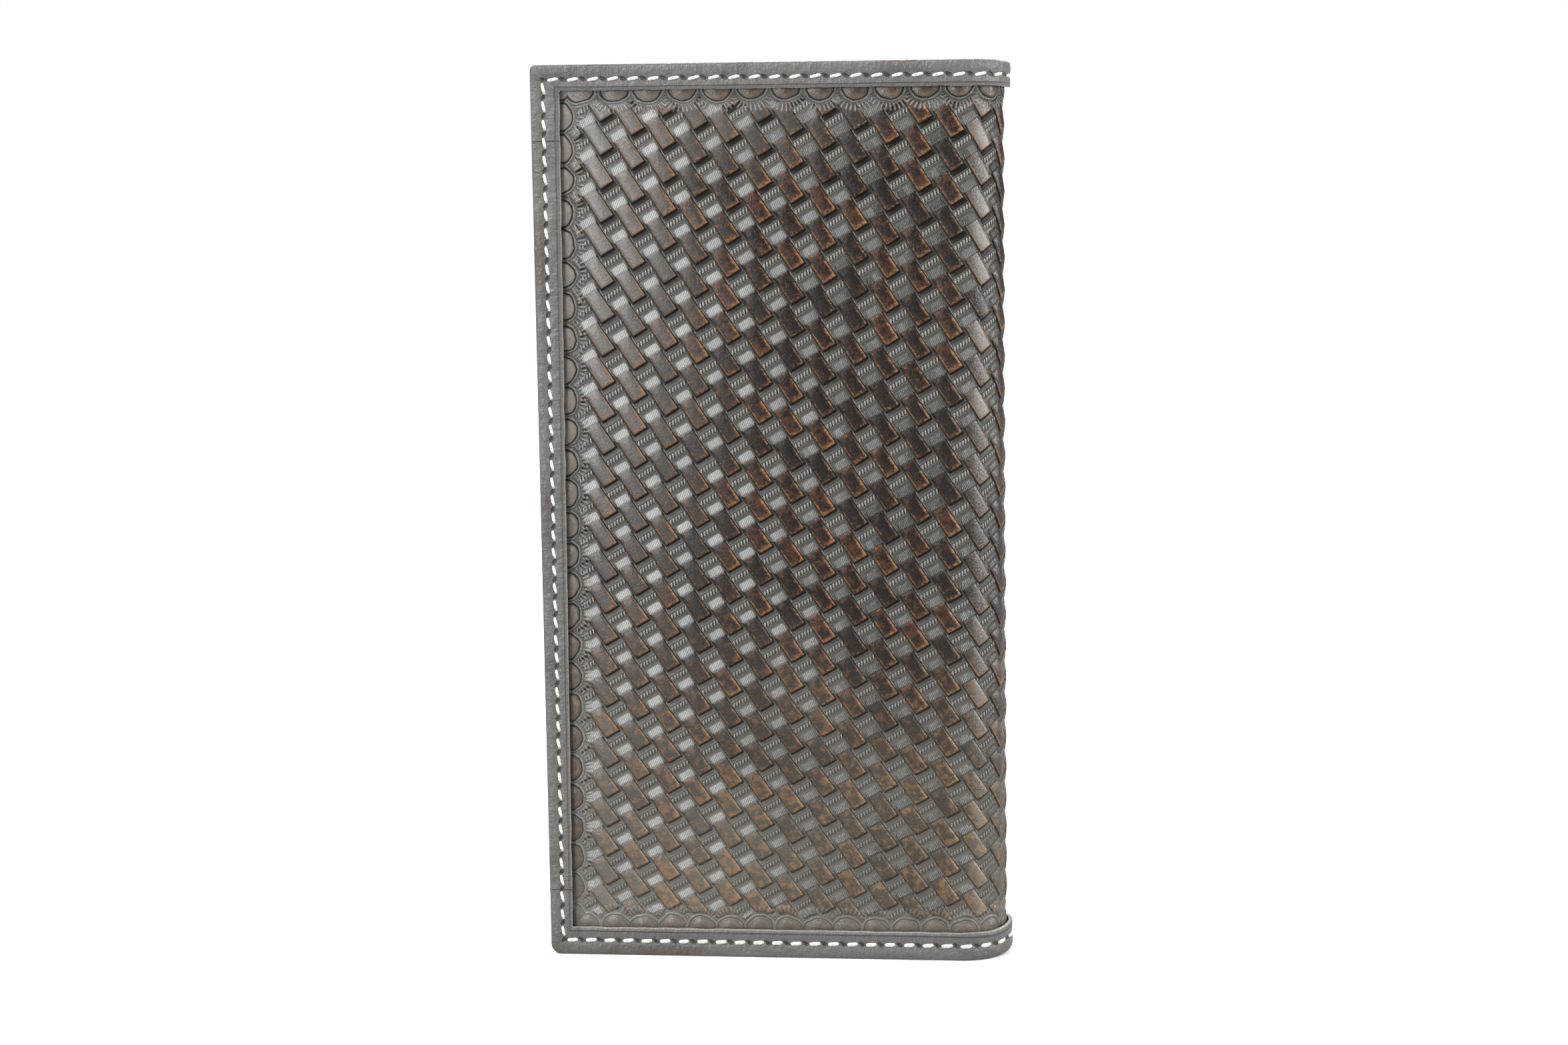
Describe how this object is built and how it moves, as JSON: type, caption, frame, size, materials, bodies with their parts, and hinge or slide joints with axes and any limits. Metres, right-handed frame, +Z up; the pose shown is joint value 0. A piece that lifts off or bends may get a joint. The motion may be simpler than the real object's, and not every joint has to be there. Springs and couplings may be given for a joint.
{
  "type": "long western wallet",
  "caption": "Tall bifold leather wallet with a basketweave-stamped, stitched cover that folds at a round spine; card pockets, ID window and bill compartments inside.",
  "frame": {"origin": "middle of the lower edge's bounding box, on the surface that the closed wallet stands on", "axes": "+Z up along the spine, +X towards the spine, -Y out of the front cover"},
  "size_m": [0.0965, 0.0204, 0.1845],
  "materials": {
    "tooled_leather": "dark brown basketweave-stamped leather with worn tan edges, satin",
    "binding_leather": "thin dark grey-brown leather, fine grain, low sheen",
    "pocket_leather": "smooth dark brown leather, fine grain",
    "lining_cloth": "black woven lining",
    "clear_sheet": "clear flexible sheet"
  },
  "bodies": {
    "spine": {"spine_leather": "tooled_leather", "spine_lining": "lining_cloth", "spine_binding_top": "binding_leather", "spine_binding_bottom": "binding_leather"},
    "front_cover": {"front_cover_leather": "tooled_leather", "front_lining": "lining_cloth", "front_bill_panel": "pocket_leather", "front_binding_top": "binding_leather", "front_binding_side": "binding_leather", "front_binding_bottom": "binding_leather", "front_upper_card_pocket_1": "pocket_leather", "front_upper_card_pocket_2": "pocket_leather", "front_upper_card_pocket_3": "pocket_leather", "id_window_sheet": "clear_sheet", "id_window_frame": "pocket_leather"},
    "back_cover": {"back_cover_leather": "tooled_leather", "back_lining": "lining_cloth", "back_bill_panel": "pocket_leather", "back_binding_top": "binding_leather", "back_binding_side": "binding_leather", "back_binding_bottom": "binding_leather", "back_upper_card_pocket_1": "pocket_leather", "back_upper_card_pocket_2": "pocket_leather", "back_upper_card_pocket_3": "pocket_leather", "back_lower_card_pocket_1": "pocket_leather", "back_lower_card_pocket_2": "pocket_leather", "back_lower_card_pocket_3": "pocket_leather"}
  },
  "joints": [
    {"name": "front_fold", "type": "hinge", "parent": "spine", "child": "front_cover", "pos_m": [0.04516, -0.00731, 0], "axis": [0, 0, 1], "range_deg": [0, 91.59]},
    {"name": "back_fold", "type": "hinge", "parent": "spine", "child": "back_cover", "pos_m": [0.04516, 0.00731, 0], "axis": [0, 0, -1], "range_deg": [0, 91.59]}
  ]
}
